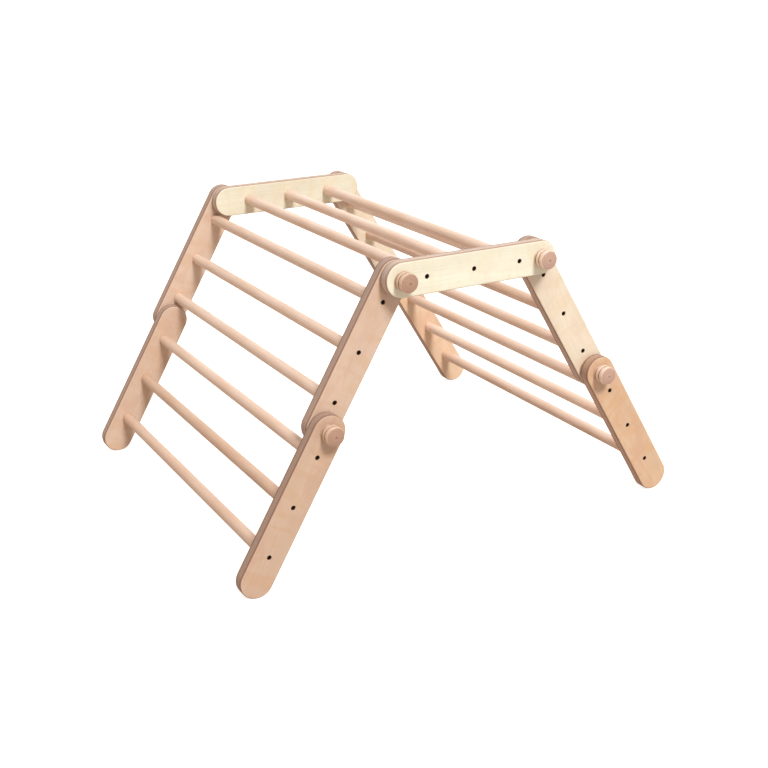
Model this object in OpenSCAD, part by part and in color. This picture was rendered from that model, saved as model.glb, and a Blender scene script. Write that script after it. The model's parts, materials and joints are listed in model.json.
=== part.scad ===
// Folding climbing arch for small children: five equal ladder sections in a chain.
// Two side rails and three round rungs make a section, and wooden clamp knobs hold the four hinges.
// X runs along the arch, Y along the rungs, Z up. The origin is on the floor under the middle.

/* [Sections] */
// Distance between neighbouring rungs, the same within a section and across a hinge
rung_pitch = 100; // [92:1:110]
// Clear length of a rung between its two side rails
rung_clear = 770; // [500:10:900]
// Lean of the four leg sections from vertical
leg_lean = 30.8; // [26:0.2:36]

/* [Rails] */
// Width of a side rail, also the diameter of its round ends
rail_width = 66; // [60:1:68]
// Thickness of the birch plywood
rail_thick = 24; // [22:1:27]
// Radius of the rounded-over edges
edge_r = 3; // [2:0.5:4]

/* [Rungs] */
// Diameter of the beech rungs
rung_d = 23; // [20:1:24]
// Depth of the blind socket that a rung sits in
socket_depth = 8; // [6:1:9]

/* [Hinges] */
// Thickness of the friction washer between two neighbouring rails
spacer_thick = 3; // [2:0.5:4]
// Diameter of the friction washer
spacer_d = 40; // [32:1:50]
// Diameter of a clamp knob
knob_d = 36; // [32:1:42]
// Height of a clamp knob above its washer
knob_h = 26; // [24:0.5:30]
// Thickness of the steel washer under a knob
knob_washer_thick = 1.5; // [1:0.5:2]
// Diameter of the steel washer under a knob
knob_washer_d = 30; // [24:1:32]
// Diameter of the steel stud in a knob
stud_d = 8; // [6:1:8]

/* [Hidden] */
$fn = 64;
// Play around a part in its seat, and the larger play at the bottom of a blind seat
fit_gap = 0.05;
part_gap = 0.1;
// Length by which a cutter passes the surface that it opens
cut = 1;
rungs_per_section = 3;
section_length = rungs_per_section * rung_pitch;
frame_width = rung_clear + 2 * rail_thick;
layer_shift = rail_thick + spacer_thick;
// Distance from the middle of the arch to the middle of the gap between the two layers of rails
layer_gap_y = (frame_width - rail_thick) / 2;
rail_r = rail_width / 2;

// Frame screws: a socket head sunk below the rail's face, and a shank that ends in the rung
screw_head_d = 8.6;
screw_head_h = 4;
screw_sink = 1.6;
screw_hex = 4;
screw_hex_deep = 2.4;
screw_shank_d = 5;
screw_shank_l = 45;
screw_pocket_d = 9.2;
screw_pocket = screw_sink + screw_head_h;

// Threaded inserts in the inner rails, and the clearance holes in the outer rails
insert_d = 12;
insert_l = 15;
insert_pocket = insert_l + 1;
insert_collar_d = 16;
insert_collar = 1.5;
stud_hole_play = 0.6;
stud_hole_d = stud_d + stud_hole_play;
stud_in_knob = 15;
stud_in_insert = 13;
stud_l = stud_in_knob + knob_washer_thick + rail_thick + spacer_thick + stud_in_insert;

// Turned profile of a knob: two V-grooves to grip, and a domed front with a centre dimple
knob_front_r = 3;
knob_back_r = 0.8;
dome_r = 55;
groove_w = 3;
groove_deep = 2;
groove_heights = [3.5, 13.5];
dimple_r = 1.6;
dimple_deep = 0.6;
edge_steps = 8;
dome_steps = 12;

// Chamfer on the ends of a rung
rung_ease = 1;

// Pivot places in the X-Z plane, from the left leg's hinge to the right leg's
top_z = section_length * 2 * cos(leg_lean) + rail_r;
half_top = section_length / 2;
step_x = section_length * sin(leg_lean);
step_z = section_length * cos(leg_lean);
pivots = [
    [-half_top - step_x, top_z - step_z],
    [-half_top, top_z],
    [half_top, top_z],
    [half_top + step_x, top_z - step_z]
];

// A section is [pivot it starts from, turn about Y, layer: -1 near or 1 far, hinge at its far end]
down_left = 90 + leg_lean;
down_right = 90 - leg_lean;
foot_left = [0, down_left, -1, false];
upper_left = [1, down_left, 1, true];
top = [1, 0, -1, true];
upper_right = [2, down_right, 1, true];
foot_right = [3, down_right, -1, false];

// Distance from a section's starting pivot to its rung number i, counted from 1
function rung_x(i) = (i - 0.5) * rung_pitch;

// Distances along a section at which it has a hinge
function hinge_x(section) = section[3] ? [0, section_length] : [0];

// Places children in a section's own frame: X along it, Y along the rungs, origin on its starting pivot
module in_section(section) {
    at = pivots[section[0]];
    translate([at[0], section[2] * layer_shift / 2, at[1]])
        rotate([0, section[1], 0])
            children();
}

// Turns children that stand along +Z so that they stand along Y, outward on the side given
module outward(side) {
    rotate([side < 0 ? 90 : -90, 0, 0]) children();
}

// Cylinder along Y from y1 to y2
module rod_y(y1, y2, d) {
    translate([0, min(y1, y2), 0])
        rotate([-90, 0, 0])
            cylinder(h = abs(y2 - y1), d = d);
}

// Half of a rail's cross-section: X is the distance from its centreline, Y the depth from its inner face
module rail_profile() {
    square([rail_r - edge_r, rail_thick]);
    translate([0, edge_r]) square([rail_r, rail_thick - 2 * edge_r]);
    for (y = [edge_r, rail_thick - edge_r])
        translate([rail_r - edge_r, y]) circle(r = edge_r);
}

// Blank of a rail with two full-round ends, its inner face at Y = 0 and its outer face at Y = rail_thick
module rail_blank() {
    for (x = [0, section_length])
        translate([x, 0, 0])
            rotate([-90, 0, 0])
                rotate_extrude() rail_profile();
    rotate([0, 90, 0])
        linear_extrude(height = section_length)
            for (m = [0, 1])
                mirror([m, 0, 0]) rail_profile();
}

// Side rail of a section, on side -1 near or 1 far. It is drilled from both faces:
// sockets and screw holes for the rungs, and at a hinge a stud hole or an insert's pocket.
module rail(section, side) {
    inner = side * rung_clear / 2;
    outer = side * frame_width / 2;
    past = outer + side * cut;
    carries_knobs = side == section[2];
    color(section[2] < 0 ? "wheat" : "burlywood")
        in_section(section)
            difference() {
                translate([0, inner, 0]) mirror([0, side < 0 ? 1 : 0, 0]) rail_blank();
                for (i = [1 : rungs_per_section])
                    translate([rung_x(i), 0, 0]) {
                        rod_y(inner - side * cut, inner + side * socket_depth, rung_d + 2 * fit_gap);
                        rod_y(inner, outer, screw_shank_d + 2 * part_gap);
                        rod_y(outer - side * screw_pocket, past, screw_pocket_d);
                    }
                for (x = hinge_x(section))
                    translate([x, 0, 0])
                        if (carries_knobs) {
                            rod_y(inner - side * cut, past, stud_hole_d);
                        } else {
                            rod_y(outer - side * insert_pocket, past, insert_d + 2 * fit_gap);
                            rod_y(outer - side * insert_collar, past, insert_collar_d + 2 * fit_gap);
                        }
            }
}

// Turned rung with eased ends, drilled at both ends for its screws
module rung(section, i) {
    half = rung_clear / 2 + socket_depth - part_gap;
    pilot_d = screw_shank_d + 2 * fit_gap;
    color("navajowhite")
        in_section(section)
            translate([rung_x(i), 0, 0])
                difference() {
                    translate([0, -half, 0])
                        rotate([-90, 0, 0])
                            rotate_extrude()
                                polygon([
                                    [0, 0],
                                    [rung_d / 2 - rung_ease, 0],
                                    [rung_d / 2, rung_ease],
                                    [rung_d / 2, 2 * half - rung_ease],
                                    [rung_d / 2 - rung_ease, 2 * half],
                                    [0, 2 * half]
                                ]);
                    for (side = [-1, 1])
                        rod_y(side * (half - screw_shank_l), side * (half + cut), pilot_d);
                }
}

// One socket head screw along +Z: the head's top is at Z = 0 and the shank hangs below it
module frame_screw() {
    difference() {
        translate([0, 0, -screw_head_h]) cylinder(h = screw_head_h, d = screw_head_d);
        translate([0, 0, -screw_hex_deep])
            cylinder(h = screw_head_h, d = screw_hex / cos(30), $fn = 6);
    }
    translate([0, 0, -screw_head_h - screw_shank_l]) cylinder(h = screw_shank_l, d = screw_shank_d);
}

// All the rung screws of a section
module screws(section) {
    color("dimgray")
        in_section(section)
            for (i = [1 : rungs_per_section], side = [-1, 1])
                translate([rung_x(i), side * (frame_width / 2 - screw_sink), 0])
                    outward(side) frame_screw();
}

// Threaded inserts, in the rail that the studs screw into: the one on the side away from the knobs
module inserts(section) {
    side = -section[2];
    color("goldenrod")
        in_section(section)
            for (x = hinge_x(section))
                translate([x, side * frame_width / 2, 0])
                    outward(side)
                        difference() {
                            union() {
                                translate([0, 0, -insert_l])
                                    cylinder(h = insert_l - part_gap, d = insert_d);
                                translate([0, 0, -insert_collar])
                                    cylinder(h = insert_collar - part_gap, d = insert_collar_d);
                            }
                            translate([0, 0, -insert_l - cut])
                                cylinder(h = insert_l + 2 * cut, d = stud_d + 2 * fit_gap);
                        }
}

// Steel washers under the knobs of a section
module knob_washers(section) {
    side = section[2];
    color("silver")
        in_section(section)
            for (x = hinge_x(section))
                translate([x, side * frame_width / 2, 0])
                    outward(side)
                        difference() {
                            cylinder(h = knob_washer_thick - fit_gap, d = knob_washer_d);
                            translate([0, 0, -cut])
                                cylinder(h = knob_washer_thick + 2 * cut, d = stud_hole_d);
                        }
}

// The two friction washers of a hinge, one between the near rails and one between the far rails
module spacers(hinge) {
    at = pivots[hinge];
    color("tan")
        for (side = [-1, 1])
            translate([at[0], side * layer_gap_y, at[1]])
                rotate([90, 0, 0])
                    difference() {
                        cylinder(h = spacer_thick - 2 * fit_gap, d = spacer_d, center = true);
                        cylinder(h = spacer_thick + 2 * cut, d = stud_hole_d, center = true);
                    }
}

// Point at a distance from a centre, at an angle from the X axis
function polar(centre, r, angle) = centre + r * [cos(angle), sin(angle)];

// Half section of a knob: X is the radius, Y the height above the washer
module knob_profile() {
    knob_r = knob_d / 2;
    back = [knob_r - knob_back_r, knob_back_r];
    dome = [0, knob_h - dome_r];
    // the rounding at the rim touches the dome from inside, so their centres are this far apart
    apart = dome_r - knob_front_r;
    rim_x = knob_r - knob_front_r;
    rim = [rim_x, dome[1] + sqrt(apart * apart - rim_x * rim_x)];
    touch_angle = acos(rim_x / apart);
    dimple_angle = acos(dimple_r / dome_r);
    groove = [[0, -groove_w / 2], [-groove_deep, 0], [0, groove_w / 2]];
    polygon(concat(
        [[0, 0]],
        [for (i = [0:edge_steps]) polar(back, knob_back_r, 90 * i / edge_steps - 90)],
        [for (h = groove_heights, corner = groove) [knob_r, h] + corner],
        [for (i = [0:edge_steps - 1]) polar(rim, knob_front_r, touch_angle * i / edge_steps)],
        [for (i = [0:dome_steps])
            polar(dome, dome_r, touch_angle + (dimple_angle - touch_angle) * i / dome_steps)],
        [[0, knob_h - dimple_deep]]
    ));
}

// Places children on a hinge's axis at the outer rail's face, standing outward
module at_knob(hinge, side) {
    at = pivots[hinge];
    translate([at[0], side * (frame_width + layer_shift) / 2, at[1]])
        outward(side)
            children();
}

// Turned wooden clamp knob, with a blind hole for its stud
module knob(hinge, side) {
    color("rosybrown")
        at_knob(hinge, side)
            translate([0, 0, knob_washer_thick])
                difference() {
                    rotate_extrude() knob_profile();
                    translate([0, 0, -cut])
                        cylinder(h = stud_in_knob + cut + part_gap, d = stud_d + 2 * fit_gap);
                }
}

// Steel stud from a knob through the outer rail into the inner rail's insert
module stud(hinge, side) {
    color("silver")
        at_knob(hinge, side)
            translate([0, 0, knob_washer_thick + stud_in_knob - stud_l])
                cylinder(h = stud_l, d = stud_d);
}

rail(foot_left, -1);  // foot_left_rail_near
rail(foot_left, 1);  // foot_left_rail_far
rung(foot_left, 1);  // foot_left_rung_1
rung(foot_left, 2);  // foot_left_rung_2
rung(foot_left, 3);  // foot_left_rung_3
screws(foot_left);  // foot_left_screws
inserts(foot_left);  // foot_left_inserts
knob_washers(foot_left);  // foot_left_knob_washers
rail(upper_left, -1);  // upper_left_rail_near
rail(upper_left, 1);  // upper_left_rail_far
rung(upper_left, 1);  // upper_left_rung_1
rung(upper_left, 2);  // upper_left_rung_2
rung(upper_left, 3);  // upper_left_rung_3
screws(upper_left);  // upper_left_screws
inserts(upper_left);  // upper_left_inserts
knob_washers(upper_left);  // upper_left_knob_washers
rail(top, -1);  // top_rail_near
rail(top, 1);  // top_rail_far
rung(top, 1);  // top_rung_1
rung(top, 2);  // top_rung_2
rung(top, 3);  // top_rung_3
screws(top);  // top_screws
inserts(top);  // top_inserts
knob_washers(top);  // top_knob_washers
rail(upper_right, -1);  // upper_right_rail_near
rail(upper_right, 1);  // upper_right_rail_far
rung(upper_right, 1);  // upper_right_rung_1
rung(upper_right, 2);  // upper_right_rung_2
rung(upper_right, 3);  // upper_right_rung_3
screws(upper_right);  // upper_right_screws
inserts(upper_right);  // upper_right_inserts
knob_washers(upper_right);  // upper_right_knob_washers
rail(foot_right, -1);  // foot_right_rail_near
rail(foot_right, 1);  // foot_right_rail_far
rung(foot_right, 1);  // foot_right_rung_1
rung(foot_right, 2);  // foot_right_rung_2
rung(foot_right, 3);  // foot_right_rung_3
screws(foot_right);  // foot_right_screws
inserts(foot_right);  // foot_right_inserts
knob_washers(foot_right);  // foot_right_knob_washers
spacers(0);  // spacers_1
spacers(1);  // spacers_2
spacers(2);  // spacers_3
spacers(3);  // spacers_4
knob(0, -1);  // knob_1_near
stud(0, -1);  // knob_1_near_stud
knob(0, 1);  // knob_1_far
stud(0, 1);  // knob_1_far_stud
knob(1, -1);  // knob_2_near
stud(1, -1);  // knob_2_near_stud
knob(1, 1);  // knob_2_far
stud(1, 1);  // knob_2_far_stud
knob(2, -1);  // knob_3_near
stud(2, -1);  // knob_3_near_stud
knob(2, 1);  // knob_3_far
stud(2, 1);  // knob_3_far_stud
knob(3, -1);  // knob_4_near
stud(3, -1);  // knob_4_near_stud
knob(3, 1);  // knob_4_far
stud(3, 1);  // knob_4_far_stud
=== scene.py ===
"""Looks of the folding climbing arch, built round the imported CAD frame. Metres, Z up."""

import json
import math

import bmesh
import bpy
from mathutils import Matrix, Vector


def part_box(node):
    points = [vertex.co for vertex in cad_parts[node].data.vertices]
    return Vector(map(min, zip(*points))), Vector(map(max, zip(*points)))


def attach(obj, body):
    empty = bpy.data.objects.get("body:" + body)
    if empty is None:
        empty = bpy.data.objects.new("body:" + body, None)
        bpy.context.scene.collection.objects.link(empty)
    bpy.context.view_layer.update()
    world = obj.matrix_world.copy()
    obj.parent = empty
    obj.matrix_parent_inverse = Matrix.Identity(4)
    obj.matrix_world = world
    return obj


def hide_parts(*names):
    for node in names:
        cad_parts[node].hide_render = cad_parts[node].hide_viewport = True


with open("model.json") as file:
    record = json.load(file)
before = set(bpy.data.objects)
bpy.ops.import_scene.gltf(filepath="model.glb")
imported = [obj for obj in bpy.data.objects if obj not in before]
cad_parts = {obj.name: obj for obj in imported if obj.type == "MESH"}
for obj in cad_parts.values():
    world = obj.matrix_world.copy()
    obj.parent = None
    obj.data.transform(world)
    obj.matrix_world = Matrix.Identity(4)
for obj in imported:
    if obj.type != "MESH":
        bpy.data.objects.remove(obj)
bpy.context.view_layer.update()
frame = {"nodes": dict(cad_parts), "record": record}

MM = 0.001
SECTIONS = ("foot_left", "upper_left", "top", "upper_right", "foot_right")
SIDES = {"near": -1, "far": 1}
RUNGS = (1, 2, 3)

# ------------------------------------------------------------------ sizes that the CAD model fixes

joint_at = {j["name"]: Vector(j["pos_m"]) for j in frame["record"]["behaviour"]["joints"]}
PIVOTS = [joint_at[name] for name in
          ("foot_left_fold", "upper_left_fold", "upper_right_fold", "foot_right_fold")]


def box(node):
    """Lowest and highest corner of a CAD node, as vectors."""
    low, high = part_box(node)
    return Vector(low), Vector(high)


def middle(node):
    """Centre of a CAD node's box."""
    low, high = box(node)
    return (low + high) / 2


def size(node):
    """Size of a CAD node's box along X, Y and Z."""
    low, high = box(node)
    return high - low


RAIL_R = size("top_rail_near").z / 2
RAIL_T = size("top_rail_near").y
RUNG_R = size("top_rung_1").z / 2
KNOB_R = size("knob_1_near").z / 2
KNOB_H = size("knob_1_near").y
WASHER_R = size("foot_left_knob_washers").z / 2
WASHER_T = size("foot_left_knob_washers").y
SPACER_R = size("spacers_1").z / 2
LAYER_GAP_Y = -(middle("top_rail_near").y + middle("upper_left_rail_near").y) / 2
SPACER_T = size("spacers_1").y - 2 * LAYER_GAP_Y
SECTION_L = (PIVOTS[2] - PIVOTS[1]).length

# sizes of small details, which repeat the CAD model's
EDGE_R = 3 * MM
SCREW_POCKET_R = 4.6 * MM
SCREW_POCKET_DEEP = 5.6 * MM
SCREW_HEAD_R = 4.3 * MM
SCREW_HEAD_H = 4 * MM
SCREW_SINK = 1.6 * MM
SCREW_SHANK_R = 2.5 * MM
SCREW_SHANK_L = 45 * MM
SOCKET_DEEP = 8 * MM
HOLE_R = 4.3 * MM
INSERT_R = 8.05 * MM
INSERT_DEEP = 16 * MM
KNOB_BORE_R = 4.05 * MM
KNOB_BORE_DEEP = 15 * MM
GROOVE_W = 3 * MM
GROOVE_DEEP = 2 * MM
GROOVES_AT = (3.5 * MM, 13.5 * MM)
KNOB_FRONT_R = 3 * MM
KNOB_BACK_R = 0.8 * MM
DOME_R = 55 * MM
DIMPLE_R = 1.6 * MM
DIMPLE_DEEP = 0.55 * MM
TURNED_RINGS = (10.2 * MM, 5.6 * MM)
TURNED_RING_DEEP = 0.15 * MM
RING_W = 0.7 * MM
# a knob's height ends at the lip of its dimple; its rim's rounding touches the dome from inside
DOME_CENTRE_Y = KNOB_H - math.sqrt(DOME_R ** 2 - DIMPLE_R ** 2)
RIM_X = KNOB_R - KNOB_FRONT_R
RIM_Y = DOME_CENTRE_Y + math.sqrt((DOME_R - KNOB_FRONT_R) ** 2 - RIM_X ** 2)

# ------------------------------------------------------------------ mesh helpers


def ring(bm, centre, radius, height, count=48):
    """A circle of vertices in the local X-Z plane, at Y = height."""
    turn = math.tau / count
    return [bm.verts.new((centre[0] + radius * math.cos(k * turn), height,
                          centre[1] + radius * math.sin(k * turn))) for k in range(count)]


def stadium(bm, radius, height, arc=40, straight=12):
    """A loop of vertices round a rail's outline, at that distance from its centreline."""
    points = []
    for k in range(arc + 1):
        angle = math.pi / 2 + math.pi * k / arc
        points.append((radius * math.cos(angle), radius * math.sin(angle)))
    for k in range(1, straight):
        points.append((SECTION_L * k / straight, -radius))
    for k in range(arc + 1):
        angle = -math.pi / 2 + math.pi * k / arc
        points.append((SECTION_L + radius * math.cos(angle), radius * math.sin(angle)))
    for k in range(straight - 1, 0, -1):
        points.append((SECTION_L * k / straight, radius))
    return [bm.verts.new((x, height, z)) for x, z in points]


def bridge(bm, a, b):
    """Quads between two loops of the same length."""
    for k in range(len(a)):
        n = (k + 1) % len(a)
        bm.faces.new((a[k], a[n], b[n], b[k]))


def loop_edges(bm, loop):
    """The edges of a closed loop of vertices."""
    pairs = [(loop[k], loop[(k + 1) % len(loop)]) for k in range(len(loop))]
    return [bm.edges.get(p) or bm.edges.new(p) for p in pairs]


def fill_between(bm, loops):
    """A flat face bounded by the first loop, with the others as holes in it."""
    edges = [e for loop in loops for e in loop_edges(bm, loop)]
    bmesh.ops.triangle_fill(bm, use_beauty=True, edges=edges)


def sharpen(bm, degrees=35):
    """Smooth faces, with edges sharper than this angle left hard."""
    for face in bm.faces:
        face.smooth = True
    for edge in bm.edges:
        if len(edge.link_faces) == 2 and edge.calc_face_angle(0) > math.radians(degrees):
            edge.smooth = False


def lathe(bm, profile, count=64, centre=(0, 0)):
    """Turns (radius, height) points about the local Y axis. A radius of 0 closes the end."""
    loops = []
    for radius, height in profile:
        if radius > 0:
            loops.append(ring(bm, centre, radius, height, count))
        else:
            loops.append(bm.verts.new((centre[0], height, centre[1])))
    for a, b in zip(loops, loops[1:]):
        if isinstance(a, list) and isinstance(b, list):
            bridge(bm, a, b)
        else:
            tip, rim = (b, a) if isinstance(a, list) else (a, b)
            for k in range(len(rim)):
                bm.faces.new((rim[k], rim[(k + 1) % len(rim)], tip))


def arc(centre, radius, start, end, steps):
    """(x, y) points along a circular arc, with both ends, angles in degrees."""
    angles = [math.radians(start + (end - start) * k / steps) for k in range(steps + 1)]
    return [(centre[0] + radius * math.cos(a), centre[1] + radius * math.sin(a)) for a in angles]


# every piece gets the next number, so that no two pieces share a grain
seeds = iter(range(1, 1000))


def piece(name, bm, place, material, body, slot, *nodes, tone=0.0):
    """Makes a mesh a piece of the object: it rides on a body and stands for CAD nodes.

    The mesh keeps its own coordinates, its seed and its tone, which its material reads.
    """
    bmesh.ops.recalc_face_normals(bm, faces=bm.faces)
    sharpen(bm)
    mesh = bpy.data.meshes.new(name)
    bm.to_mesh(mesh)
    bm.free()
    local = mesh.attributes.new("local", "FLOAT_VECTOR", "POINT")
    local.data.foreach_set("vector", [c for v in mesh.vertices for c in v.co])
    seed = mesh.attributes.new("seed", "FLOAT", "POINT")
    seed.data.foreach_set("value", [next(seeds)] * len(mesh.vertices))
    shade_of = mesh.attributes.new("tone", "FLOAT", "POINT")
    shade_of.data.foreach_set("value", [tone] * len(mesh.vertices))
    mesh.materials.append(material)
    mesh.transform(place)
    obj = bpy.data.objects.new(name, mesh)
    bpy.context.scene.collection.objects.link(obj)
    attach(obj, body)
    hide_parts(*nodes)
    return obj


# ------------------------------------------------------------------ where things stand


def section_ends(section):
    """A section's starting pivot and its other end, in the X-Z plane."""
    foot_low, foot_high = box(f"{section}_rail_near")
    foot_z = foot_low.z + RAIL_R
    return {
        "foot_left": (PIVOTS[0], Vector((foot_low.x + RAIL_R, 0, foot_z))),
        "upper_left": (PIVOTS[1], PIVOTS[0]),
        "top": (PIVOTS[1], PIVOTS[2]),
        "upper_right": (PIVOTS[2], PIVOTS[3]),
        "foot_right": (PIVOTS[3], Vector((foot_high.x - RAIL_R, 0, foot_z))),
    }[section]


def place_along(section, side, y):
    """Local frame of a section: X along it, Y outward on that side, origin on its starting pivot."""
    start, end = section_ends(section)
    along = Vector((end.x - start.x, 0, end.z - start.z)).normalized()
    out = Vector((0, side, 0))
    across = along.cross(out)
    rows = Matrix((along, out, across)).transposed().to_4x4()
    rows.translation = Vector((start.x, y, start.z))
    return rows


def knob_side(section):
    """The side on which a section's rail lies outermost and carries the knobs."""
    return "near" if section in ("foot_left", "top", "foot_right") else "far"


def hinge_places(section):
    """Distances along a section at which it has a hinge."""
    return (0,) if section.startswith("foot") else (0, SECTION_L)


def rung_places(section):
    """Distances along a section at which it has a rung."""
    start, _ = section_ends(section)
    flat = [Vector((middle(f"{section}_rung_{i}").x - start.x, 0,
                    middle(f"{section}_rung_{i}").z - start.z)) for i in RUNGS]
    return [v.length for v in flat]


# ------------------------------------------------------------------ node helpers


def make(tree, kind, inputs=None, **settings):
    """A shader node. Inputs are sockets to link or values to set."""
    node = tree.nodes.new(kind)
    for key, value in settings.items():
        setattr(node, key, value)
    for key, value in (inputs or {}).items():
        if isinstance(value, bpy.types.NodeSocket):
            tree.links.new(value, node.inputs[key])
        else:
            node.inputs[key].default_value = value
    return node


def calc(tree, operation, a, b=0.0, clamp=False):
    """Output of a Math node."""
    node = make(tree, "ShaderNodeMath", {0: a, 1: b}, operation=operation, use_clamp=clamp)
    return node.outputs[0]


def blend(tree, factor, a, b, mode="MIX"):
    """Output of a colour Mix node."""
    node = make(tree, "ShaderNodeMix", data_type="RGBA", blend_type=mode, clamp_factor=True)
    for socket, value in zip((node.inputs[0], node.inputs[6], node.inputs[7]), (factor, a, b)):
        if isinstance(value, bpy.types.NodeSocket):
            tree.links.new(value, socket)
        else:
            socket.default_value = value
    return node.outputs[2]


def stretched(tree, vector, scale, shift):
    """A vector scaled per axis and moved by a seed, so that no two pieces share a grain."""
    node = make(tree, "ShaderNodeVectorMath", {0: vector, 1: scale}, operation="MULTIPLY")
    moved = make(tree, "ShaderNodeVectorMath", {0: node.outputs[0], 1: shift}, operation="ADD")
    return moved.outputs[0]


def noise(tree, vector, scale=1.0, detail=4.0, rough=0.55, distortion=0.0):
    """Noise value from 0 to 1."""
    node = make(tree, "ShaderNodeTexNoise", {"Vector": vector, "Scale": scale, "Detail": detail,
                "Roughness": rough, "Distortion": distortion}, noise_dimensions="3D")
    return node.outputs["Fac"]


def remap(tree, value, low, high, to_low=0.0, to_high=1.0):
    """Value from low..high stretched to to_low..to_high, clamped and eased."""
    node = make(tree, "ShaderNodeMapRange", {0: value, 1: low, 2: high, 3: to_low, 4: to_high},
                interpolation_type="SMOOTHSTEP")
    return node.outputs[0]


def srgb(red, green, blue):
    """A linear colour from 0-255 display values."""
    def linear(c):
        c /= 255
        return c / 12.92 if c <= 0.04045 else ((c + 0.055) / 1.055) ** 2.4
    return (linear(red), linear(green), linear(blue), 1.0)


def shade(colour, factor):
    """A linear colour made lighter or darker."""
    return tuple(c * factor for c in colour[:3]) + (1.0,)


def tinted(colour, tint):
    """A linear colour with each of its channels scaled."""
    return tuple(c * t for c, t in zip(colour, tint)) + (1.0,)


def start_material(name):
    """A new material with an empty node tree and its Principled shader."""
    material = bpy.data.materials.new(name)
    material.use_nodes = True
    tree = material.node_tree
    tree.nodes.clear()
    shader = make(tree, "ShaderNodeBsdfPrincipled")
    output = make(tree, "ShaderNodeOutputMaterial")
    tree.links.new(shader.outputs[0], output.inputs[0])
    return material, tree, shader


SEED_STRIDE = (7.31, 3.17, 5.77)


def piece_coordinates(tree):
    """A piece's own coordinates, its seed, and a vector that differs from piece to piece."""
    local = make(tree, "ShaderNodeAttribute", attribute_name="local").outputs["Vector"]
    seed = make(tree, "ShaderNodeAttribute", attribute_name="seed").outputs["Fac"]
    steps = {axis: calc(tree, "MULTIPLY", seed, stride) for axis, stride in enumerate(SEED_STRIDE)}
    shift = make(tree, "ShaderNodeCombineXYZ", steps)
    return local, seed, shift.outputs[0]


def finish_surface(tree, shader, colour, roughness, height, bump_depth, strength=0.5):
    """Links colour, roughness and a bump height to the shader."""
    tree.links.new(colour, shader.inputs["Base Color"])
    tree.links.new(roughness, shader.inputs["Roughness"])
    bump = make(tree, "ShaderNodeBump", {"Height": height, "Distance": bump_depth, "Strength": strength})
    tree.links.new(bump.outputs[0], shader.inputs["Normal"])


# ------------------------------------------------------------------ materials

PLIES = 17
DEEP_TONE = (0.86, 0.80, 0.74, 1.0)
PALE_TONE = (1.14, 1.20, 1.26, 1.0)
# painted shade: the brown inside the knobs' grip grooves
GROOVE_SHADE = srgb(128, 82, 56)

# how fast each grain changes, in cells per metre: along, through and across a board
PLY_FIELD = (2.4, 5.0, 15.0)
PLY_CURL = (42.0, 9.0, 11.0)
PLY_CLOUD = (17.0, 17.0, 34.0)
PLY_STREAKS = (9.0, 60.0, 330.0)
PLY_PORES = (90.0, 400.0, 1500.0)
PLY_SPECKS = (900.0, 900.0, 900.0)
PLY_SMEAR = (14.0, 120.0, 14.0)
CONTOURS = 95.0
PLY_WARM = (0.97, 0.86, 0.73)
PLY_ROSY = (0.93, 0.82, 0.79)
BAND_BROWN = (0.62, 0.47, 0.40)

# depths below a board's face, at its rounded edge: the veneer ends, then the brown band comes and goes
VENEER_END = (0.3 * MM, 1.0 * MM)
BAND_START = (0.4 * MM, 1.2 * MM)
BAND_END = (4.0 * MM, 7.0 * MM)

# the same for turned wood: across its axis, along its axis, across
ROD_FIGURE = (70.0, 3.0, 70.0)
ROD_PATCH = (20.0, 9.0, 20.0)
ROD_STREAKS = (420.0, 10.0, 420.0)
ROD_FLECKS = (1300.0, 240.0, 1300.0)
ROD_WARM = (0.97, 0.90, 0.83)
KNOB_WOBBLE = (40.0, 5.0, 40.0)
KNOB_STREAKS = (380.0, 14.0, 380.0)
KNOB_PORES = (1500.0, 300.0, 1500.0)
PITH_OFFSET = (2.0 * MM, 1.2 * MM)
RING_SWING = 5.0 * MM
GROWTH_RINGS = 2200.0
RAYS_ROUND = 26.0
RAYS_OUTWARD = 60.0


def toned(tree, colour):
    """A colour with the piece's tone, 1 a deeper and more orange board and -1 a paler one: partly the
    wood's own colour, partly painted light and shade.
    """
    tone = make(tree, "ShaderNodeAttribute", attribute_name="tone").outputs["Fac"]
    deep = blend(tree, 1.0, colour, DEEP_TONE, "MULTIPLY")
    pale = blend(tree, 1.0, colour, PALE_TONE, "MULTIPLY")
    deeper = calc(tree, "MAXIMUM", tone, 0.0)
    paler = calc(tree, "MAXIMUM", calc(tree, "MULTIPLY", tone, -1.0), 0.0)
    return blend(tree, paler, blend(tree, deeper, colour, deep), pale)


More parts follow.
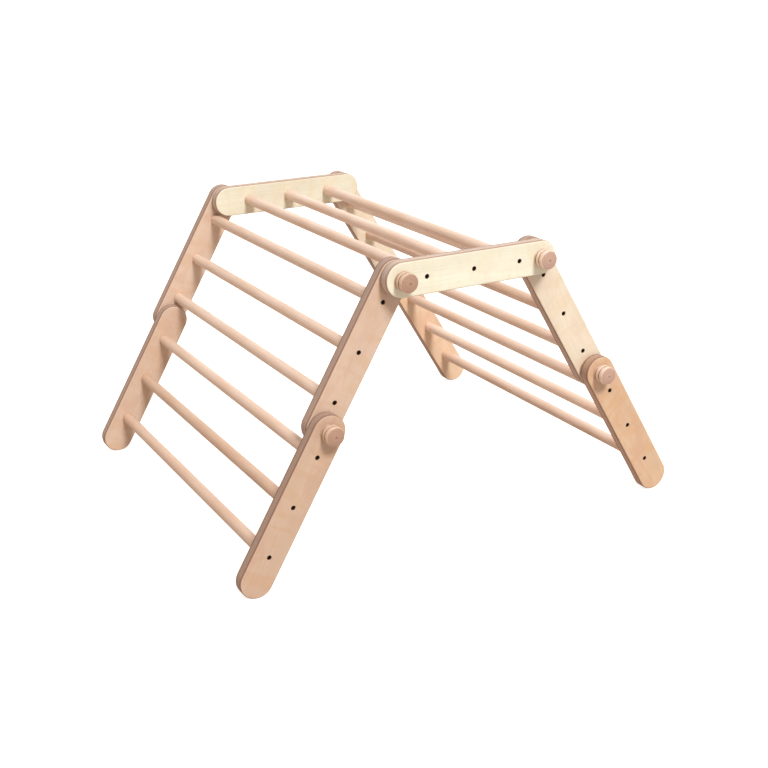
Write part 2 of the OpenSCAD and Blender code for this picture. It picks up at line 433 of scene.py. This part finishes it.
def plywood(name, face, edge, figured=1.0):
    """Birch plywood as a solid: figured face veneers, and layers with glue lines on the edges."""
    material, tree, shader = start_material(name)
    local, seed, shift = piece_coordinates(tree)
    axes = make(tree, "ShaderNodeSeparateXYZ", {0: local}).outputs
    along, thick, across = axes[0], axes[1], axes[2]

    # face veneer, peeled from the log: contour lines of a slow field, with bars of curl across the
    # grain, warm clouds, fine streaks along the grain and short dark pores
    field = noise(tree, stretched(tree, local, PLY_FIELD, shift), 1.0, 2.0, 0.45, 0.4)
    contour = calc(tree, "SINE", calc(tree, "MULTIPLY", field, CONTOURS))
    curl = noise(tree, stretched(tree, local, PLY_CURL, shift), 1.0, 1.5, 0.5, 0.9)
    cloud = noise(tree, stretched(tree, local, PLY_CLOUD, shift), 1.0, 3.0, 0.55)
    streaks = noise(tree, stretched(tree, local, PLY_STREAKS, shift), 1.0, 5.0, 0.6)
    pores = noise(tree, stretched(tree, local, PLY_PORES, shift), 1.0, 2.0, 0.5)
    warm = tinted(face, PLY_WARM)
    rosy = tinted(face, PLY_ROSY)
    veneer = blend(tree, remap(tree, field, 0.3, 0.7), shade(face, 0.96), shade(face, 1.04))
    veneer = blend(tree, remap(tree, contour, 0.1, 1.0, 0.0, 0.30 * figured), veneer, warm)
    veneer = blend(tree, remap(tree, curl, 0.46, 0.68, 0.0, 0.75 * figured), veneer, warm)
    veneer = blend(tree, remap(tree, cloud, 0.45, 0.7, 0.0, 0.70 * figured), veneer, rosy)
    veneer = blend(tree, remap(tree, streaks, 0.45, 0.75, 0.0, 0.50), veneer, shade(face, 0.84))
    veneer = blend(tree, remap(tree, pores, 0.60, 0.74, 0.0, 0.40), veneer, shade(face, 0.60))

    # layers: every second one shows end grain on the long edges, the rest show it at the round ends
    depth = calc(tree, "ADD", thick, RAIL_T / 2)
    layer = calc(tree, "MULTIPLY", depth, PLIES / RAIL_T)
    number = calc(tree, "FLOOR", layer)
    inside = calc(tree, "FRACT", layer)
    crossed = calc(tree, "MODULO", number, 2.0)
    beyond = calc(tree, "ADD", calc(tree, "MINIMUM", along, 0.0),
                  calc(tree, "MAXIMUM", calc(tree, "SUBTRACT", along, SECTION_L), 0.0))
    reach_squared = calc(tree, "ADD", calc(tree, "MULTIPLY", beyond, beyond),
                         calc(tree, "MULTIPLY", across, across))
    reach = calc(tree, "MAXIMUM", calc(tree, "SQRT", reach_squared), 1e-5)
    facing_along = calc(tree, "DIVIDE", calc(tree, "ABSOLUTE", beyond), reach)
    facing_across = calc(tree, "DIVIDE", calc(tree, "ABSOLUTE", across), reach)
    end_grain = calc(tree, "ADD",
                     calc(tree, "MULTIPLY", facing_along, calc(tree, "SUBTRACT", 1.0, crossed)),
                     calc(tree, "MULTIPLY", facing_across, crossed))
    tone = make(tree, "ShaderNodeTexWhiteNoise", {"W": calc(tree, "ADD", number, seed)},
                noise_dimensions="1D").outputs["Value"]
    speck = noise(tree, stretched(tree, local, PLY_SPECKS, shift), 1.0, 2.0, 0.6)
    smear = noise(tree, stretched(tree, local, PLY_SMEAR, shift), 1.0, 3.0, 0.6)
    long_side = blend(tree, tone, shade(edge, 1.04), shade(edge, 1.28))
    end_side = blend(tree, remap(tree, speck, 0.35, 0.7), shade(edge, 0.60), shade(edge, 0.92))
    layers = blend(tree, end_grain, long_side, end_side)
    line = calc(tree, "ABSOLUTE", calc(tree, "SUBTRACT", inside, 0.5))
    layers = blend(tree, remap(tree, line, 0.42, 0.5, 0.0, 0.60), layers, shade(edge, 0.42))
    layers = blend(tree, remap(tree, smear, 0.4, 0.7, 0.0, 0.30), layers, shade(edge, 0.78))

    # the round-over cuts through the face veneer; below each face, the edge is coloured with a brown
    # band
    below_face = calc(tree, "SUBTRACT", RAIL_T / 2, calc(tree, "ABSOLUTE", thick))
    on_edge = remap(tree, below_face, *VENEER_END)
    band = calc(tree, "MULTIPLY", remap(tree, below_face, *BAND_START),
                remap(tree, below_face, *BAND_END, 1.0, 0.0))
    layers = blend(tree, calc(tree, "MULTIPLY", band, 0.85), layers, tinted(edge, BAND_BROWN))
    colour = toned(tree, blend(tree, on_edge, veneer, layers))
    roughness = calc(tree, "ADD", remap(tree, streaks, 0.3, 0.8, 0.42, 0.56),
                     calc(tree, "MULTIPLY", on_edge, 0.14))
    height = calc(tree, "ADD", calc(tree, "MULTIPLY", streaks, 0.6),
                  calc(tree, "MULTIPLY", calc(tree, "MULTIPLY", on_edge, line), 1.2))
    finish_surface(tree, shader, colour, roughness, height, 0.12 * MM)
    return material


def beech(name, base):
    """Turned beech: long grain along the rung with the short dark flecks of its rays."""
    material, tree, shader = start_material(name)
    local, seed, shift = piece_coordinates(tree)
    figure = noise(tree, stretched(tree, local, ROD_FIGURE, shift), 1.0, 3.0, 0.55, 0.5)
    patch = noise(tree, stretched(tree, local, ROD_PATCH, shift), 1.0, 2.0, 0.5)
    streaks = noise(tree, stretched(tree, local, ROD_STREAKS, shift), 1.0, 4.0, 0.6)
    flecks = noise(tree, stretched(tree, local, ROD_FLECKS, shift), 1.0, 1.0, 0.4)
    warm = tinted(base, ROD_WARM)
    colour = blend(tree, remap(tree, patch, 0.35, 0.65), shade(base, 1.03), warm)
    colour = blend(tree, remap(tree, figure, 0.3, 0.7, 0.0, 0.6), colour, shade(base, 1.08))
    colour = blend(tree, remap(tree, streaks, 0.45, 0.75, 0.0, 0.5), colour, shade(base, 0.80))
    colour = blend(tree, remap(tree, flecks, 0.63, 0.72, 0.0, 0.45), colour, shade(base, 0.60))
    roughness = remap(tree, streaks, 0.3, 0.8, 0.40, 0.54)
    finish_surface(tree, shader, toned(tree, colour), roughness, streaks, 0.10 * MM)
    return material


def turned_knob(name, side, end):
    """Knob wood: long grain down its side, end grain with growth rings and rays on its front."""
    material, tree, shader = start_material(name)
    local, seed, shift = piece_coordinates(tree)
    axes = make(tree, "ShaderNodeSeparateXYZ", {0: local}).outputs
    wobble = noise(tree, stretched(tree, local, KNOB_WOBBLE, shift), 1.0, 2.0, 0.5)
    off_x = calc(tree, "SUBTRACT", axes[0], PITH_OFFSET[0])
    off_z = calc(tree, "ADD", axes[2], PITH_OFFSET[1])
    from_pith = calc(tree, "SQRT", calc(tree, "ADD", calc(tree, "MULTIPLY", off_x, off_x),
                     calc(tree, "MULTIPLY", off_z, off_z)))
    swing = calc(tree, "MULTIPLY", calc(tree, "SUBTRACT", wobble, 0.5), RING_SWING)
    ring_phase = calc(tree, "MULTIPLY", calc(tree, "ADD", from_pith, swing), GROWTH_RINGS)
    rings = calc(tree, "SINE", ring_phase)
    angle = calc(tree, "ARCTAN2", off_z, off_x)
    spokes = make(tree, "ShaderNodeCombineXYZ", {0: calc(tree, "MULTIPLY", angle, RAYS_ROUND),
                  1: calc(tree, "MULTIPLY", from_pith, RAYS_OUTWARD), 2: seed}).outputs[0]
    rays = noise(tree, spokes, 1.0, 2.0, 0.5)
    streaks = noise(tree, stretched(tree, local, KNOB_STREAKS, shift), 1.0, 4.0, 0.6)
    pores = noise(tree, stretched(tree, local, KNOB_PORES, shift), 1.0, 1.0, 0.5)
    long_grain = blend(tree, remap(tree, streaks, 0.4, 0.75, 0.0, 0.6), shade(side, 1.04),
                       shade(side, 0.80))
    end_grain = blend(tree, remap(tree, rings, -1.0, 1.0, 0.0, 0.8), shade(end, 1.12), shade(end, 0.84))
    end_grain = blend(tree, remap(tree, rays, 0.5, 0.7, 0.0, 0.45), end_grain, shade(end, 1.24))
    radius = calc(tree, "SQRT", calc(tree, "ADD", calc(tree, "MULTIPLY", axes[0], axes[0]),
                  calc(tree, "MULTIPLY", axes[2], axes[2])))
    in_from_rim = calc(tree, "SUBTRACT", KNOB_R, radius)
    front = calc(tree, "MULTIPLY", remap(tree, in_from_rim, 0.2 * MM, 1.8 * MM),
                 calc(tree, "GREATER_THAN", axes[1], RIM_Y))
    # the lathe's centre leaves a dimple; the dimple is coloured darker and a ring round it paler
    from_dimple = calc(tree, "SUBTRACT", radius, DIMPLE_R)
    end_grain = blend(tree, remap(tree, from_dimple, 0.2 * MM, 0.9 * MM, 0.75, 0.0), end_grain,
                      shade(end, 0.55))
    pale_ring = calc(tree, "ABSOLUTE", calc(tree, "SUBTRACT", radius, TURNED_RINGS[-1]))
    end_grain = blend(tree, remap(tree, pale_ring, 0.4 * MM, 1.4 * MM, 0.5, 0.0), end_grain,
                      shade(end, 1.22))
    colour = blend(tree, front, long_grain, end_grain)
    colour = blend(tree, remap(tree, pores, 0.6, 0.7, 0.0, 0.4), colour, shade(end, 0.60))

    # painted shade: the inside of each grip groove is coloured brown, for the shade in its hollow
    sunk = remap(tree, in_from_rim, 0.05 * MM, 0.4 * MM)
    before_front = calc(tree, "LESS_THAN", axes[1], RIM_Y)
    past_back = calc(tree, "GREATER_THAN", axes[1], KNOB_BACK_R)
    groove_shade = calc(tree, "MULTIPLY", sunk, calc(tree, "MULTIPLY", before_front, past_back))
    colour = blend(tree, calc(tree, "MULTIPLY", groove_shade, 0.9), colour, GROOVE_SHADE)
    roughness = remap(tree, streaks, 0.3, 0.8, 0.40, 0.55)
    height = calc(tree, "ADD", streaks, calc(tree, "MULTIPLY", rings, 0.15))
    finish_surface(tree, shader, toned(tree, colour), roughness, height, 0.10 * MM)
    return material


def metal(name, base, rough_low, rough_high, metallic):
    """Machined metal with fine turning marks and a mottled finish."""
    material, tree, shader = start_material(name)
    position = make(tree, "ShaderNodeTexCoord").outputs["Object"]
    mottle = noise(tree, position, 900.0, 3.0, 0.6)
    fine = noise(tree, position, 6000.0, 2.0, 0.5)
    colour = blend(tree, remap(tree, mottle, 0.35, 0.65), shade(base, 0.82), shade(base, 1.12))
    shader.inputs["Metallic"].default_value = metallic
    roughness = remap(tree, mottle, 0.3, 0.7, rough_low, rough_high)
    finish_surface(tree, shader, colour, roughness, fine, 0.02 * MM, 0.3)
    return material


def plastic(name, base):
    """Matt nylon with a fine moulded grain."""
    material, tree, shader = start_material(name)
    position = make(tree, "ShaderNodeTexCoord").outputs["Object"]
    mottle = noise(tree, position, 500.0, 3.0, 0.6)
    fine = noise(tree, position, 4000.0, 2.0, 0.5)
    colour = blend(tree, remap(tree, mottle, 0.35, 0.65), shade(base, 0.9), shade(base, 1.08))
    finish_surface(tree, shader, colour, remap(tree, mottle, 0.3, 0.7, 0.5, 0.65), fine, 0.03 * MM, 0.3)
    return material


# each board's second colour is its edge layers' colour, and partly painted shade: it is darker than the
# layers alone, so that the legs' outer edges, which face away from the light, look shaded
RAIL_MATERIAL = {
    "foot_left": plywood("ply_tan", srgb(202, 173, 149), srgb(180, 150, 131), 0.8),
    "top": plywood("ply_cream", srgb(235, 231, 209), srgb(212, 188, 170), 0.55),
    "upper_right": plywood("ply_pale", srgb(228, 213, 190), srgb(192, 162, 142), 0.6),
    "foot_right": plywood("ply_honey", srgb(213, 180, 148), srgb(192, 158, 134), 1.1),
}
RAIL_MATERIAL["upper_left"] = RAIL_MATERIAL["foot_left"]
RAIL_SLOT = {"foot_left": "rail_tan", "upper_left": "rail_tan", "top": "rail_cream",
             "upper_right": "rail_pale", "foot_right": "rail_honey"}
RUNG_WOOD = beech("beech_rung", srgb(224, 194, 172))
KNOB_WOOD = turned_knob("beech_knob", srgb(230, 198, 172), srgb(178, 142, 122))

# no two boards or dowels are quite the same colour: see toned(). The rail and rung tones are partly
# painted light
# and shade as well: rails in the shade of rungs, such as the far upper left and far foot right rails,
# and rungs in the shade of the top section, such as the first of the upper right, are paler to lift that
# shade, and other pieces are deeper or paler to even out how lit they look. Knobs 1 and 2 are deeper,
# knobs 3 and 4 paler.
RAIL_TONE_AND_LIGHT = {
    "foot_left_rail_near": 0.15,
    "foot_left_rail_far": -0.4,
    "upper_left_rail_near": -0.75,
    "upper_left_rail_far": -1.0,
    "top_rail_far": 0.4,
    "foot_right_rail_far": -1.0,
}
# partly painted light and shade, as above
RUNG_TONE_AND_LIGHT = {
    "foot_left": (0.0, 1.0, 0.6),
    "upper_left": (0.0, -0.3, -0.2),
    "top": (-0.6, -1.0, -0.7),
    "upper_right": (-1.0, 0.2, -0.5),
    "foot_right": (-0.4, -1.0, -0.2),
}
KNOB_TONE = {1: 0.6, 2: 0.5, 3: -0.9, 4: -0.7}
BLACK_STEEL = metal("black_oxide_steel", srgb(46, 39, 33), 0.35, 0.55, 0.9)
ZINC_STEEL = metal("zinc_steel", srgb(190, 190, 188), 0.25, 0.4, 1.0)
INSERT_METAL = metal("plated_insert", srgb(196, 172, 116), 0.3, 0.45, 1.0)
NYLON = plastic("nylon_spacer", srgb(150, 128, 104))

# ------------------------------------------------------------------ rails

SUPPORT = 0.6 * MM
RIM = 0.35 * MM
RIM_STEPS = 3
EDGE_STEPS = 6
SOCKET_FIT = 0.05 * MM


def rim_loops(bm, x, radius, face):
    """A hole's loops at a face: a flat support loop, and a small rounded rim down into the hole."""
    inward = -math.copysign(1, face)
    support = ring(bm, (x, 0), radius + RIM + SUPPORT, face)
    loops = [support]
    for k in range(RIM_STEPS + 1):
        angle = math.pi / 2 * k / RIM_STEPS
        loops.append(ring(bm, (x, 0), radius + RIM * (1 - math.sin(angle)),
                          face + inward * RIM * (1 - math.cos(angle))))
    for a, b in zip(loops, loops[1:]):
        bridge(bm, a, b)
    return support, loops[-1]


def blind_hole(bm, x, radius, deep, face):
    """A flat-bottomed hole. Returns the loop that the face is filled up to."""
    support, rim = rim_loops(bm, x, radius, face)
    floor = ring(bm, (x, 0), radius, face - math.copysign(deep, face))
    bridge(bm, rim, floor)
    bm.faces.new(floor)
    return support


def through_hole(bm, x, radius):
    """A hole from face to face. Returns the loops on the outer and the inner face."""
    outer, outer_rim = rim_loops(bm, x, radius, RAIL_T / 2)
    inner, inner_rim = rim_loops(bm, x, radius, -RAIL_T / 2)
    bridge(bm, outer_rim, inner_rim)
    return outer, inner


def rail_mesh(section, side):
    """A side rail: full-round ends, rounded edges, rung sockets, screw pockets and hinge holes."""
    bm = bmesh.new()
    half = RAIL_T / 2
    top_arc = arc((RAIL_R - EDGE_R, half - EDGE_R), EDGE_R, 90, 0, EDGE_STEPS)
    low_arc = arc((RAIL_R - EDGE_R, EDGE_R - half), EDGE_R, 0, -90, EDGE_STEPS)
    inset = RAIL_R - EDGE_R - SUPPORT
    profile = [(inset, half)] + top_arc + low_arc + [(inset, -half)]
    loops = [stadium(bm, r, y) for r, y in profile]
    for a, b in zip(loops, loops[1:]):
        bridge(bm, a, b)
    outer_holes, inner_holes = [], []
    for x in rung_places(section):
        outer_holes.append(blind_hole(bm, x, SCREW_POCKET_R, SCREW_POCKET_DEEP, half))
        inner_holes.append(blind_hole(bm, x, RUNG_R + SOCKET_FIT, SOCKET_DEEP, -half))
    for x in hinge_places(section):
        if side == knob_side(section):
            outer, inner = through_hole(bm, x, HOLE_R)
            outer_holes.append(outer)
            inner_holes.append(inner)
        else:
            outer_holes.append(blind_hole(bm, x, INSERT_R, INSERT_DEEP, half))
    fill_between(bm, [loops[0]] + outer_holes)
    fill_between(bm, [loops[-1]] + inner_holes)
    return bm


def build_rails():
    """The ten side rails, each in its section's local frame on its own side."""
    for section in SECTIONS:
        for side, sign in SIDES.items():
            node = f"{section}_rail_{side}"
            place = place_along(section, sign, middle(node).y)
            piece(f"vis_{node}", rail_mesh(section, side), place, RAIL_MATERIAL[section],
                  section, RAIL_SLOT[section], node, tone=RAIL_TONE_AND_LIGHT.get(node, 0.0))


# ------------------------------------------------------------------ rungs, screws, knobs, washers


RUNG_EASE = 1 * MM
RUNG_BANDS = 8


def build_rungs():
    """The fifteen rungs, with eased ends."""
    for section in SECTIONS:
        for i in RUNGS:
            node = f"{section}_rung_{i}"
            half = size(node).y / 2
            low = arc((RUNG_R - RUNG_EASE, RUNG_EASE - half), RUNG_EASE, -90, 0, 4)
            high = arc((RUNG_R - RUNG_EASE, half - RUNG_EASE), RUNG_EASE, 0, 90, 4)
            straight = 2 * half - 2 * RUNG_EASE
            side = [(RUNG_R, -half + RUNG_EASE + straight * k / RUNG_BANDS)
                    for k in range(1, RUNG_BANDS)]
            bm = bmesh.new()
            lathe(bm, [(0, -half)] + low + side + high + [(0, half)], 56)
            place = Matrix.Translation(middle(node))
            piece(f"vis_{node}", bm, place, RUNG_WOOD, section, "rung_beech", node,
                  tone=RUNG_TONE_AND_LIGHT[section][i - 1])


def socket_screw(bm, x, top):
    """A socket head screw whose head's top is at Y = top: chamfered head, hexagonal recess, shank."""
    chamfer = 0.4 * MM
    recess_r = 2.3 * MM
    recess_deep = 2.4 * MM
    count = 36
    under = top - SCREW_HEAD_H
    profile = [(SCREW_HEAD_R - chamfer, top), (SCREW_HEAD_R, top - chamfer), (SCREW_HEAD_R, under),
               (SCREW_SHANK_R, under), (SCREW_SHANK_R, under - SCREW_SHANK_L)]
    loops = [ring(bm, (x, 0), r, y, count) for r, y in profile]
    for a, b in zip(loops, loops[1:]):
        bridge(bm, a, b)
    bm.faces.new(loops[-1])
    mouth = ring(bm, (x, 0), recess_r, top, 6)
    floor = ring(bm, (x, 0), recess_r, top - recess_deep, 6)
    bridge(bm, mouth, floor)
    bm.faces.new(floor)
    fill_between(bm, [loops[0], mouth])


def join_sides(make_side):
    """One mesh from a near and a far half, each made in its own local frame."""
    bm = bmesh.new()
    for side, sign in SIDES.items():
        half = bmesh.new()
        matrix = make_side(half, side, sign)
        half.transform(matrix)
        data = bpy.data.meshes.new("half")
        half.to_mesh(data)
        half.free()
        bm.from_mesh(data)
        bpy.data.meshes.remove(data)
    return bm


def build_screws():
    """The screws of each section, six in one piece."""
    for section in SECTIONS:
        home = place_along(section, 1, 0)

        def one_side(bm, side, sign):
            outer = abs(middle(f"{section}_rail_{side}").y) + RAIL_T / 2
            for x in rung_places(section):
                socket_screw(bm, x, outer - SCREW_SINK)
            return home.inverted() @ place_along(section, sign, 0)

        bm = join_sides(one_side)
        piece(f"vis_{section}_screws", bm, home, BLACK_STEEL, section, "screw_black",
              f"{section}_screws")


def washer(bm, x, radius, bore, low, high):
    """A flat washer with eased edges, between Y = low and Y = high."""
    ease = min(0.3 * MM, (high - low) / 4)
    profile = [(bore, low), (radius - ease, low), (radius, low + ease), (radius, high - ease),
               (radius - ease, high), (bore, high), (bore, low)]
    loops = [ring(bm, (x, 0), r, y, 56) for r, y in profile[:-1]]
    for a, b in zip(loops, loops[1:] + loops[:1]):
        bridge(bm, a, b)


def build_knob_washers():
    """The steel washers of each section, under its knobs."""
    for section in SECTIONS:
        node = f"{section}_knob_washers"
        sign = SIDES[knob_side(section)]
        bm = bmesh.new()
        for x in hinge_places(section):
            washer(bm, x, WASHER_R, HOLE_R, -WASHER_T / 2, WASHER_T / 2)
        place = place_along(section, sign, middle(node).y)
        piece(f"vis_{node}", bm, place, ZINC_STEEL, section, "washer_steel", node)


def build_spacers():
    """The friction washers of each hinge, a near and a far one in one piece."""
    owners = ("foot_left", "upper_left", "upper_right", "foot_right")
    for number, (section, pivot) in enumerate(zip(owners, PIVOTS), 1):
        node = f"spacers_{number}"
        low, high = box(node)
        centre = Vector((pivot.x, 0, pivot.z))
        bm = bmesh.new()
        washer(bm, 0, SPACER_R, HOLE_R, low.y, low.y + SPACER_T)
        washer(bm, 0, SPACER_R, HOLE_R, high.y - SPACER_T, high.y)
        piece(f"vis_{node}", bm, Matrix.Translation(centre), NYLON, section, "spacer_nylon", node)


# half the width of a groove's rounded floor as a share of its width, and how deep that floor starts
GROOVE_FLOOR = 0.08
GROOVE_WALL = 0.9
DOME_BANDS = (14 * MM, 12 * MM)
BEHIND_RING = 2 * MM
KNOB_TWIST = 37


def knob_profile():
    """(radius, height) points of a knob, from the bore's bottom round to the middle of its front."""
    points = [(0, KNOB_BORE_DEEP), (KNOB_BORE_R, KNOB_BORE_DEEP), (KNOB_BORE_R, 0)]
    points += arc((KNOB_R - KNOB_BACK_R, KNOB_BACK_R), KNOB_BACK_R, -90, 0, 4)
    wall = KNOB_R - GROOVE_DEEP * GROOVE_WALL
    for height in GROOVES_AT:
        points += [(KNOB_R, height - GROOVE_W / 2 - SUPPORT), (KNOB_R, height - GROOVE_W / 2)]
        points += [(wall, height - GROOVE_W * GROOVE_FLOOR), (KNOB_R - GROOVE_DEEP, height)]
        points += [(wall, height + GROOVE_W * GROOVE_FLOOR)]
        points += [(KNOB_R, height + GROOVE_W / 2), (KNOB_R, height + GROOVE_W / 2 + SUPPORT)]
    touch = math.degrees(math.acos(RIM_X / (DOME_R - KNOB_FRONT_R)))
    points += arc((RIM_X, RIM_Y), KNOB_FRONT_R, 0, touch, 8)

    def dome(radius, sunk=0.0):
        """A point on the domed front at that radius, or some way below it."""
        return radius, DOME_CENTRE_Y + math.sqrt(DOME_R ** 2 - radius ** 2) - sunk

    points += [dome(radius) for radius in DOME_BANDS]
    for radius in TURNED_RINGS:
        points += [dome(radius + RING_W / 2), dome(radius, TURNED_RING_DEEP), dome(radius - RING_W / 2)]
        points += [dome(radius - BEHIND_RING)]
    points += [dome(DIMPLE_R + SUPPORT), dome(DIMPLE_R), dome(DIMPLE_R / 2, DIMPLE_DEEP / 2)]
    points += [(0, KNOB_H - DIMPLE_DEEP)]
    return points


def build_knobs():
    """The eight clamp knobs, each turned to its own angle."""
    for number, pivot in enumerate(PIVOTS, 1):
        for side, sign in SIDES.items():
            node = f"knob_{number}_{side}"
            low, high = box(node)
            base = high.y if sign < 0 else low.y
            spin = Matrix.Rotation(math.radians(KNOB_TWIST * number * sign), 4, "Y")
            face = Matrix.Identity(4) if sign > 0 else Matrix.Rotation(math.pi, 4, "Z")
            place = Matrix.Translation((pivot.x, base, pivot.z)) @ face @ spin
            bm = bmesh.new()
            lathe(bm, knob_profile(), 72)
            piece(f"vis_{node}", bm, place, KNOB_WOOD, node, "knob_beech", node,
                  tone=KNOB_TONE[number])


def dress_cad_nodes():
    """Materials for the CAD nodes that stay as they are: studs and inserts."""
    for name, obj in frame["nodes"].items():
        material = None
        if name.endswith("_stud"):
            material = ZINC_STEEL
        elif name.endswith("_inserts"):
            material = INSERT_METAL
        if material:
            obj.data.materials.clear()
            obj.data.materials.append(material)


build_rails()
build_rungs()
build_screws()
build_knob_washers()
build_spacers()
build_knobs()
dress_cad_nodes()

# ------------------------------------------------------------------ floor, light and camera

WHITE = (1.0, 1.0, 1.0, 1.0)
KEY_STRENGTH = 3.0
KEY_WIDE = 17
KEY_COLOUR = (0.96, 1.0, 1.04)
KEY_TOWARDS = (0.02, -0.66, 0.75)
FILL_STRENGTH = 0.7
FILL_WIDE = 50
FILL_COLOUR = (1.0, 0.97, 0.93)
FILL_TOWARDS = (0.3, 0.85, 0.2)
SURROUND_SIDE = 0.38
SURROUND_TOP = 0.62
SURROUND_WARM = (1.0, 0.78, 0.62, 1.0)
FLOOR_GLOW = 0.80
FLOOR_REACH = 60.0
FLOOR_DARK = (0.61, 0.54, 0.49, 1)
FLOOR_LIGHT = (0.64, 0.57, 0.52, 1)

CAMERA_ANGLES = (-28.84, 20.14, -0.93)
CAMERA_DISTANCE = 2.2609
CAMERA_AIM_X = -0.1914
CAMERA_AIM_BELOW_PIVOT = 0.1866
CAMERA_LENS = 58.85
SENSOR_WIDTH = 36
FAR_CLIP = 200


def build_floor():
    """A plain pale floor. Its own glow, seen only directly, keeps it white and its shadows faint."""
    mesh = bpy.data.meshes.new("floor")
    corners = [(FLOOR_REACH * x, FLOOR_REACH * y, 0) for x, y in ((-1, -1), (1, -1), (1, 1), (-1, 1))]
    mesh.from_pydata(corners, [], [(0, 1, 2, 3)])
    material, tree, shader = start_material("floor_pale")
    speck = noise(tree, make(tree, "ShaderNodeTexCoord").outputs["Object"], 2.0, 3.0, 0.5)
    colour = blend(tree, speck, FLOOR_DARK, FLOOR_LIGHT)
    tree.links.new(colour, shader.inputs["Base Color"])
    shader.inputs["Roughness"].default_value = 1.0
    shader.inputs["Specular IOR Level"].default_value = 0.0
    shader.inputs["Emission Color"].default_value = WHITE
    seen = make(tree, "ShaderNodeLightPath").outputs["Is Camera Ray"]
    tree.links.new(calc(tree, "MULTIPLY", seen, FLOOR_GLOW), shader.inputs["Emission Strength"])
    mesh.materials.append(material)
    floor = bpy.data.objects.new("floor", mesh)
    bpy.context.scene.collection.objects.link(floor)


def sun(name, strength, angle, colour, towards):
    """A sun lamp that stands in that direction; its angle is how wide it looks, in degrees."""
    light = bpy.data.lights.new(name, "SUN")
    light.energy = strength
    light.angle = math.radians(angle)
    light.color = colour
    lamp = bpy.data.objects.new(name, light)
    lamp.rotation_euler = Vector(towards).to_track_quat("Z", "Y").to_euler()
    bpy.context.scene.collection.objects.link(lamp)


def build_lights():
    """A broad key light from the front and above, a weak low fill from behind, and a surround.

    The surround is warm at the sides and white overhead. Seen directly, it is plain white.
    """
    sun("key", KEY_STRENGTH, KEY_WIDE, KEY_COLOUR, KEY_TOWARDS)
    sun("fill", FILL_STRENGTH, FILL_WIDE, FILL_COLOUR, FILL_TOWARDS)
    world = bpy.data.worlds.new("surround")
    world.use_nodes = True
    tree = world.node_tree
    background = tree.nodes["Background"]
    direction = make(tree, "ShaderNodeTexCoord").outputs["Generated"]
    up = calc(tree, "MAXIMUM", make(tree, "ShaderNodeSeparateXYZ", {0: direction}).outputs[2], 0.0)
    lit = calc(tree, "ADD", calc(tree, "MULTIPLY", up, SURROUND_TOP - SURROUND_SIDE), SURROUND_SIDE)
    seen = make(tree, "ShaderNodeLightPath").outputs["Is Camera Ray"]
    whiteness = calc(tree, "MAXIMUM", up, seen)
    colour = blend(tree, whiteness, SURROUND_WARM, WHITE)
    tree.links.new(colour, background.inputs["Color"])
    tree.links.new(calc(tree, "MAXIMUM", lit, seen), background.inputs["Strength"])
    bpy.context.scene.world = world


def build_camera():
    """Camera at the photograph's viewing angle, aimed at a point on the near rails' outer plane."""
    azimuth, elevation, roll = (math.radians(a) for a in CAMERA_ANGLES)
    near_plane = box("top_rail_near")[0].y
    target = Vector((CAMERA_AIM_X, near_plane, PIVOTS[1].z - CAMERA_AIM_BELOW_PIVOT))
    ahead = Vector((-math.sin(azimuth) * math.cos(elevation),
                    math.cos(azimuth) * math.cos(elevation), -math.sin(elevation)))
    level_right = ahead.cross(Vector((0, 0, 1))).normalized()
    level_up = level_right.cross(ahead)
    right = math.cos(roll) * level_right + math.sin(roll) * level_up
    up = math.cos(roll) * level_up - math.sin(roll) * level_right
    data = bpy.data.cameras.new("camera")
    data.lens = CAMERA_LENS
    data.sensor_width = SENSOR_WIDTH
    data.clip_end = FAR_CLIP
    camera = bpy.data.objects.new("camera", data)
    camera.matrix_world = Matrix((right, up, -ahead)).transposed().to_4x4()
    camera.location = target - ahead * CAMERA_DISTANCE
    bpy.context.scene.collection.objects.link(camera)
    bpy.context.scene.camera = camera


build_floor()
build_lights()
build_camera()
bpy.context.scene.view_settings.view_transform = "Standard"
bpy.context.scene.view_settings.look = "None"
